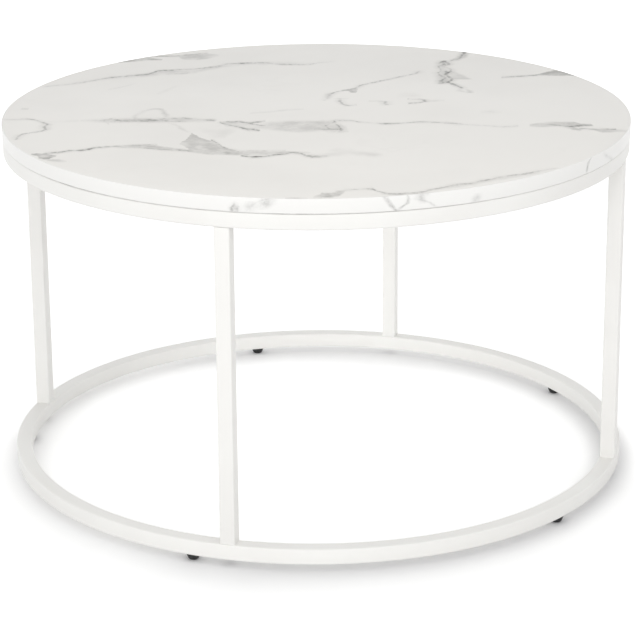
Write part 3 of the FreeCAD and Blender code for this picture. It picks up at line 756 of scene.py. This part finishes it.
def drillHoles(piece, level, holes):
    # drills through one wall of the tube, whose outer face is at the level
    deselectAll()
    drills = []
    for place, radius in holes:
        bpy.ops.mesh.primitive_cylinder_add(vertices=tube["holeSides"], radius=radius,
                                            depth=tube["drillLength"], location=(place.x, place.y, level))
        drills.append(bpy.context.object)
    for drill in drills:
        drill.select_set(True)
    bpy.context.view_layer.objects.active = drills[0]
    bpy.ops.object.join()
    applyModifier(piece, "BOOLEAN", object=drills[0], operation="DIFFERENCE", solver="EXACT")
    bpy.data.objects.remove(drills[0])


def cutLeg():
    low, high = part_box("leg_front")
    middle = centreOf("leg_front")
    half = (high.x - low.x) / 2
    leg = squareOutline("legFront", 2 * half, tube["legCorner"], (middle.x, middle.y, low.z), (0, 0, 0))
    bpy.ops.mesh.extrude_region_move(TRANSFORM_OT_translate={"value": (0, 0, high.z - low.z)})
    closeEdit()
    cleanShell(leg)
    applyModifier(leg, "SOLIDIFY", thickness=tube["wall"], offset=-1.0, use_even_offset=True)

    def onOuterRim(corners):
        ends = {round(c.z / mm) for c in corners}
        reach = min(max(abs(c.x - middle.x), abs(c.y - middle.y)) for c in corners)
        return len(ends) == 1 and reach > half - tube["outerRim"]

    editWith(leg, "EDGE", onOuterRim)
    bpy.ops.mesh.bevel(offset=tube["legEndBevel"], segments=fineSegments, affect="EDGES")
    closeEdit()
    return leg


legPlaces = [centreOf(f"leg_{name}") for name in legNames]
footPlaces = [centreOf(f"foot_pad_{number}") for number in footNumbers]
access = [(place, tube["accessHole"]) for place in legPlaces]
bolts = [(place, tube["boltHole"]) for place in legPlaces]
rivets = [(place, tube["rivetHole"]) for place in footPlaces]

upperRing = bendRing("upperRing", "upper_ring")
drillHoles(upperRing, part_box("upper_ring")[1].z, access)
drillHoles(upperRing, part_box("upper_ring")[0].z, bolts)
lowerRing = bendRing("lowerRing", "lower_ring")
drillHoles(lowerRing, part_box("lower_ring")[0].z, access + rivets)
drillHoles(lowerRing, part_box("lower_ring")[1].z, bolts)
for ring, node in ((upperRing, "upper_ring"), (lowerRing, "lower_ring")):
    finishPiece(ring, "table", [node], coats["powderCoat"])

legFront = cutLeg()
legs = [legFront] + [copyTurned(legFront, f"leg{name.title()}", math.radians(90 * turn))
                     for turn, name in enumerate(legNames) if turn]
for leg, name in zip(legs, legNames):
    finishPiece(leg, "table", [f"leg_{name}"], coats["powderCoat"])
print("stage: rings bent and legs cut")


# Top: face sheet and edge band, with a fine groove where they meet

top = {
    "steps": 240,
    "bandThickness": 1.0 * mm,
    "bandRounding": 0.6 * mm,
    "bandSegments": 4,
    "jointBevel": 0.15 * mm,
}


def pressFaceSheet():
    low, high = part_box("top_marble_laminate")
    deselectAll()
    bpy.ops.mesh.primitive_circle_add(vertices=top["steps"], radius=high.x, fill_type="NGON",
                                      location=(0, 0, low.z))
    sheet = bpy.context.object
    sheet.name = "marbleFaceSheet"
    settle(sheet)
    editAll(sheet)
    bpy.ops.mesh.extrude_region_move(TRANSFORM_OT_translate={"value": (0, 0, high.z - low.z)})
    closeEdit()
    cleanShell(sheet)
    editWith(sheet, "EDGE", lambda corners: min(c.z for c in corners) > high.z - tight)
    bpy.ops.mesh.bevel(offset=top["jointBevel"], segments=fineSegments, affect="EDGES")
    closeEdit()
    return sheet


def wrapEdgeBand():
    low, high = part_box("top_edge_band")
    deselectAll()
    middle = high.x - top["bandThickness"] / 2
    bpy.ops.mesh.primitive_plane_add(size=1, location=(0, -middle, (low.z + high.z) / 2),
                                     rotation=(0, math.radians(90), 0))
    band = bpy.context.object
    band.name = "marbleEdgeBand"
    band.scale = (high.z - low.z, top["bandThickness"], 1)
    settle(band)
    editWith(band, "VERT", lambda corners: corners[0].y < -middle)
    bpy.ops.mesh.bevel(offset=top["bandRounding"], segments=top["bandSegments"], affect="VERTICES")
    closeEdit()
    editWith(band, "VERT", lambda corners: corners[0].y > -middle and corners[0].z > high.z - tight)
    bpy.ops.mesh.bevel(offset=top["jointBevel"], segments=fineSegments, affect="VERTICES")
    bpy.ops.mesh.select_all(action="SELECT")
    bpy.ops.mesh.delete(type="ONLY_FACE")
    bpy.ops.mesh.select_all(action="SELECT")
    bpy.ops.mesh.spin(steps=top["steps"], angle=math.radians(360), center=(0, 0, 0), axis=(0, 0, 1))
    closeEdit()
    cleanShell(band)
    return band


finishPiece(pressFaceSheet(), "table", ["top_marble_laminate"], marbleFace)
finishPiece(wrapEdgeBand(), "table", ["top_edge_band"], marbleRim)
print("stage: top faced and edged")


# Levelling feet: a moulded pad round a threaded stud

foot = {
    "sides": 64,
    "baseRadius": 6.0 * mm,
    "floorRounding": 2.0 * mm,
    "floorSegments": 7,
    "rimRounding": 0.25 * mm,
    "recessRadius": 5.6 * mm,
    "recessDepth": 0.9 * mm,
    "boreRadius": 3.1 * mm,
    "boreDepth": 4.0 * mm,
    "pitch": 1.0 * mm,
    "crest": 3.0 * mm,
    "root": 2.4 * mm,
    "crestShare": 0.2,
    "threadSteps": 28,
    "threadMerge": 0.005 * mm,
    "anchorSides": 6,
    "anchorRadius": 4.5 * mm,
    "anchorHeight": 2.0 * mm,
    "anchorBevel": 0.3 * mm,
}


def mouldPad():
    low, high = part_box("foot_pad_1")
    height = high.z - low.z
    rim = (high.x - low.x) / 2
    deselectAll()
    bpy.ops.mesh.primitive_cone_add(vertices=foot["sides"], radius1=foot["baseRadius"], radius2=rim,
                                    depth=height, location=(0, 0, height / 2))
    pad = bpy.context.object
    settle(pad)
    editWith(pad, "FACE", lambda corners: min(c.z for c in corners) > height - tight)
    bpy.ops.mesh.inset(thickness=rim - foot["recessRadius"])
    bpy.ops.mesh.extrude_region_move(TRANSFORM_OT_translate={"value": (0, 0, -foot["recessDepth"])})
    bpy.ops.mesh.inset(thickness=foot["recessRadius"] - foot["boreRadius"])
    bpy.ops.mesh.extrude_region_move(TRANSFORM_OT_translate={"value": (0, 0, -foot["boreDepth"])})
    closeEdit()
    editWith(pad, "EDGE", lambda corners: max(c.z for c in corners) < tight)
    bpy.ops.mesh.bevel(offset=foot["floorRounding"], segments=foot["floorSegments"], affect="EDGES")
    closeEdit()
    editWith(pad, "EDGE", lambda corners: min(c.xy.length for c in corners) > rim - tight)
    bpy.ops.mesh.bevel(offset=foot["rimRounding"], segments=fineSegments, affect="EDGES")
    closeEdit()
    return pad


def rollStud():
    # one tooth of the thread is wound up by the screw modifier and cut square at both ends
    low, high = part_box("foot_stud_1")
    deselectAll()
    middle = (foot["crest"] + foot["root"]) / 2
    bpy.ops.mesh.primitive_plane_add(size=1, location=(middle, 0, low.z), rotation=(math.radians(90), 0, 0))
    stud = bpy.context.object
    stud.scale = (foot["crest"] - foot["root"], foot["pitch"], 1)
    settle(stud)
    editWith(stud, "VERT", lambda corners: corners[0].x > middle)
    bpy.ops.transform.resize(value=(1, 1, foot["crestShare"]), center_override=(0, 0, low.z))
    bpy.ops.mesh.select_all(action="SELECT")
    bpy.ops.mesh.delete(type="ONLY_FACE")
    closeEdit()
    editWith(stud, "EDGE", lambda corners: max(c.x for c in corners) < middle)
    bpy.ops.mesh.delete(type="EDGE")
    closeEdit()
    turns = math.ceil((high.z - low.z) / foot["pitch"]) + 1
    applyModifier(stud, "SCREW", angle=math.radians(360), screw_offset=foot["pitch"], iterations=turns,
                  axis="Z", steps=foot["threadSteps"], render_steps=foot["threadSteps"],
                  use_merge_vertices=True, merge_threshold=foot["threadMerge"])
    cleanShell(stud)
    for level, keepAbove in ((low.z + foot["anchorHeight"] / 2, True), (high.z, False)):
        editAll(stud)
        bpy.ops.mesh.bisect(plane_co=(0, 0, level), plane_no=(0, 0, 1), use_fill=True,
                            clear_inner=keepAbove, clear_outer=not keepAbove)
        closeEdit()
    deselectAll()
    bpy.ops.mesh.primitive_cylinder_add(vertices=foot["anchorSides"], radius=foot["anchorRadius"],
                                        depth=foot["anchorHeight"],
                                        location=(0, 0, low.z + foot["anchorHeight"] / 2))
    anchor = bpy.context.object
    applyModifier(anchor, "BEVEL", width=foot["anchorBevel"], segments=fineSegments)
    anchor.select_set(True)
    stud.select_set(True)
    bpy.context.view_layer.objects.active = stud
    bpy.ops.object.join()
    cleanShell(stud)
    return stud


def setFeet():
    pad, stud = mouldPad(), rollStud()
    for number, place in zip(footNumbers, footPlaces):
        for master, word, node, slotName, finish in (
                (pad, "footPad", "foot_pad", "black_plastic", "blackPlastic"),
                (stud, "footStud", "foot_stud", "zinc_steel", "zincSteel")):
            piece = copyTurned(master, f"{word}{number}", 0.0, (place.x, place.y, 0))
            finishPiece(piece, f"foot_{number}", [f"{node}_{number}"], coats[finish])
    bpy.data.objects.remove(pad)
    bpy.data.objects.remove(stud)


setFeet()
print("stage: feet set")


# Camera, floor and light

view = {
    "place": (0.8616, -3.0230, 1.2517),
    "heading": math.radians(15.85),
    "down": math.radians(18.84),
    "roll": math.radians(-0.378),
    "lens": 142.1,
    "sensor": 36.0,
    "clipEnd": 50.0,
}


def placeCamera():
    camera = bpy.data.objects.new("camera", bpy.data.cameras.new("camera"))
    bpy.context.scene.collection.objects.link(camera)
    camera.data.lens = view["lens"]
    camera.data.sensor_width = view["sensor"]
    camera.data.clip_end = view["clipEnd"]
    turn = Matrix.Rotation(view["heading"], 4, "Z")
    tip = Matrix.Rotation(math.radians(90) - view["down"], 4, "X")
    roll = Matrix.Rotation(view["roll"], 4, "Z")
    camera.matrix_world = Matrix.Translation(view["place"]) @ turn @ tip @ roll
    bpy.context.scene.camera = camera


studio = {
    "floorSize": 14.0,
    "floorColour": (1.0, 1.0, 1.0, 1),
    "floorSeen": (1.5, 1.5, 1.5, 1),      # what the camera sees, so that the open floor is white
    "floorRoughness": 0.9,
    "shades": (
        # side that the shade falls away from, reach, openness at its deepest and where it ends, colour
        ((-0.04, 0.80, 0.58), 0.16, 0.62, 0.91, (1.09, 1.09, 1.095, 1)),
        ((0, 0, 1), 0.03, 0.5, 0.95, (0.98, 0.98, 0.99, 1)),
    ),
    "shadeLift": (-0.28, -0.08, 0.42),      # the shade is weaker on the left: span of the change, share
    "shadeSamples": 16,
    "horizon": 0.94,       # strength of the surroundings low down and overhead
    "zenith": 0.56,
    "glowSpan": (0.2, 0.9),      # heights in the sky between which the strength falls
    "lamps": (
        # name, place, aim, width, height, power, spread in degrees, whether it lights the floor
        ("frontSoftbox", (0.3, -7.8, 1.1), (0, 0, 0.2), 9.5, 2.6, 136.0, 180, True),
        ("topSoftbox", (0.35, -1.2, 1.7), (0.1, -0.5, 0.46), 1.2, 0.5, 5.8, 180, False),
        ("backPanel", (-1.0, 3.7, 1.15), (0, 0, 0.2), 5.0, 2.0, 35.0, 180, True),
        ("underFill", (0, -0.28, 0.34), (0, 0.38, 0.04), 0.3, 0.1, 0.13, 80, True),
        ("lowFill", (0.5, -2.3, 0.12), (0.05, 0, 0.02), 2.0, 0.2, 0.23, 34, False),
    ),
}


def makeFloor():
    bpy.ops.mesh.primitive_plane_add(size=studio["floorSize"], location=(0, 0, 0))
    floor = bpy.context.object
    floor.name = "studioFloor"
    material, tree, shader, place = newMaterial("studioFloor")
    shader.inputs["Roughness"].default_value = studio["floorRoughness"]
    shader.inputs["Specular IOR Level"].default_value = 0.0
    seen, cameraRay = addSeen(tree)
    shown = studio["floorSeen"]
    for side, reach, low, high, colour in studio["shades"]:
        near = tree.nodes.new("ShaderNodeAmbientOcclusion")
        near.samples = studio["shadeSamples"]
        near.inputs["Distance"].default_value = reach
        leaning = tree.nodes.new("ShaderNodeCombineXYZ")
        for axis, value in zip("XYZ", side):
            leaning.inputs[axis].default_value = value
        tree.links.new(leaning.outputs["Vector"], near.inputs["Normal"])
        shown = addMix(tree, addRange(tree, near.outputs["AO"], low, high), colour, shown)
    leftEnd, rightEnd, lift = studio["shadeLift"]
    sideways = splitPlace(tree, turnedPlace(tree, place))["X"]
    lifted = addRange(tree, sideways, leftEnd, rightEnd, lift, 0.0, smooth=True)
    shown = addMix(tree, lifted, shown, studio["floorSeen"])
    tree.links.new(addMix(tree, seen, studio["floorColour"], shown), shader.inputs["Base Color"])
    # from below the camera looks through the floor, so that the underside can be seen
    under = tree.nodes.new("ShaderNodeNewGeometry").outputs["Backfacing"]
    hidden = addMath(tree, "MULTIPLY", under, cameraRay)
    tree.links.new(addMath(tree, "SUBTRACT", 1.0, hidden), shader.inputs["Alpha"])
    floor.data.materials.append(material)
    return floor


def makeWorld():
    world = bpy.data.worlds.new("studio")
    bpy.context.scene.world = world
    world.use_nodes = True
    tree = world.node_tree
    background = tree.nodes["Background"]
    background.inputs["Color"].default_value = (1, 1, 1, 1)
    seen = addSeen(tree)[0]
    height = splitPlace(tree, tree.nodes.new("ShaderNodeTexCoord").outputs["Generated"])["Z"]
    glow = addRange(tree, height, *studio["glowSpan"], studio["horizon"], studio["zenith"])
    tree.links.new(addRange(tree, seen, 0.0, 1.0, glow, 1.0), background.inputs["Strength"])


def hangLamps(floor):
    # lamps that would wash out the shade on the floor leave it out
    spared = bpy.data.collections.new("sparedFloor")
    spared.objects.link(floor)
    spared.collection_objects[0].light_linking.link_state = "EXCLUDE"
    for name, place, aim, width, height, power, spread, lightsFloor in studio["lamps"]:
        lamp = bpy.data.objects.new(name, bpy.data.lights.new(name, "AREA"))
        bpy.context.scene.collection.objects.link(lamp)
        lamp.data.shape = "RECTANGLE"
        lamp.data.size = width
        lamp.data.size_y = height
        lamp.data.energy = power
        lamp.data.spread = math.radians(spread)
        lamp.visible_glossy = False      # the white room gives the reflections
        lamp.visible_camera = False
        if not lightsFloor:
            lamp.light_linking.receiver_collection = spared
        lamp.location = place
        lamp.rotation_euler = (Vector(aim) - Vector(place)).to_track_quat("-Z", "Y").to_euler()


deselectAll()
placeCamera()
floor = makeFloor()
makeWorld()
hangLamps(floor)
bpy.context.scene.view_settings.view_transform = "Standard"
print("stage: studio set")
